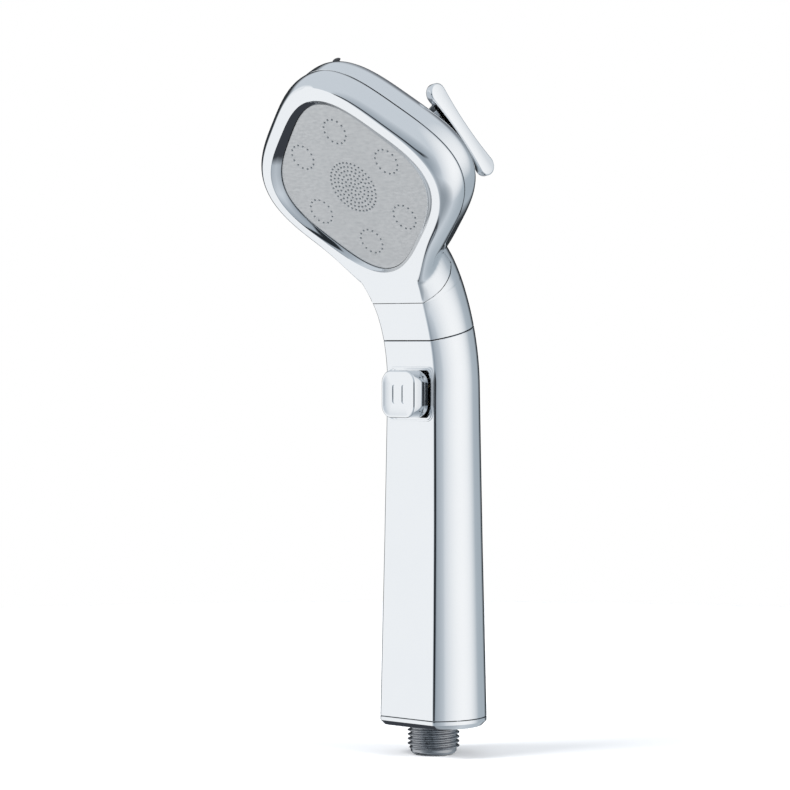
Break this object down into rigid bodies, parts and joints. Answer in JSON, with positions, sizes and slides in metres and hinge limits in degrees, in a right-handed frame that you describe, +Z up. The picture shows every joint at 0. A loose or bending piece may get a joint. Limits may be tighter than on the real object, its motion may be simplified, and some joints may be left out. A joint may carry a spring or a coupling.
{
  "type": "handheld shower head",
  "caption": "Chrome handheld shower head with a diamond-shaped spray face, forward-bent neck, stop button on the grip, mode lever behind the head and G1/2 inlet thread",
  "frame": {"origin": "centre of the inlet thread's end face, on the grip's axis", "axes": "+Z up the grip, -Y towards the spray side, +X to the side that the mode lever points to"},
  "size_m": [0.1008, 0.0946, 0.2768],
  "materials": {
    "chrome_plate": "polished chrome plating",
    "brushed_plate": "finely brushed stainless steel",
    "fastener_steel": "drawn and rolled steel",
    "brass_parts": "turned brass",
    "waterway_plastic": "moulded acetal",
    "black_plastic": "moulded black plastic",
    "seal_rubber": "moulded nitrile rubber"
  },
  "bodies": {
    "housing": {"front_shell": "chrome_plate", "back_shell": "chrome_plate", "handle_shell": "chrome_plate", "bottom_cap": "chrome_plate", "inlet_nipple": "chrome_plate", "button_frame": "chrome_plate", "lever_escutcheon": "chrome_plate", "spray_plate": "brushed_plate", "inlet_screen": "brushed_plate", "housing_screw_1": "fastener_steel", "housing_screw_2": "fastener_steel", "housing_screw_3": "fastener_steel", "detent_ball": "fastener_steel", "detent_spring": "fastener_steel", "button_spring": "fastener_steel", "flow_limiter": "waterway_plastic", "lower_tube": "waterway_plastic", "valve_body": "waterway_plastic", "riser_tube": "waterway_plastic", "distributor_plate": "waterway_plastic", "diverter_housing": "waterway_plastic", "jet_divider": "black_plastic", "locating_stud": "black_plastic", "lower_tube_ring": "seal_rubber", "chamber_seal": "seal_rubber"},
    "stop_button": {"button_cap": "chrome_plate", "valve_plunger": "brass_parts", "plunger_ring_front": "seal_rubber", "plunger_ring_back": "seal_rubber"},
    "mode_selector": {"mode_lever": "chrome_plate", "lever_cap": "chrome_plate", "lever_screw": "fastener_steel", "diverter_rotor": "brass_parts", "spindle_ring": "seal_rubber"}
  },
  "joints": [
    {"name": "stop_button_push", "type": "slide", "parent": "housing", "child": "stop_button", "axis": [0, 1, 0], "range_m": [0, 0.004], "stiffness_N_per_m": 900, "deforming": ["button_spring"]},
    {"name": "mode_lever_turn", "type": "hinge", "parent": "housing", "child": "mode_selector", "pos_m": [0, -0.02491, 0.24223], "axis": [0, 0.8462, 0.5329], "range_deg": [-25, 25]}
  ]
}
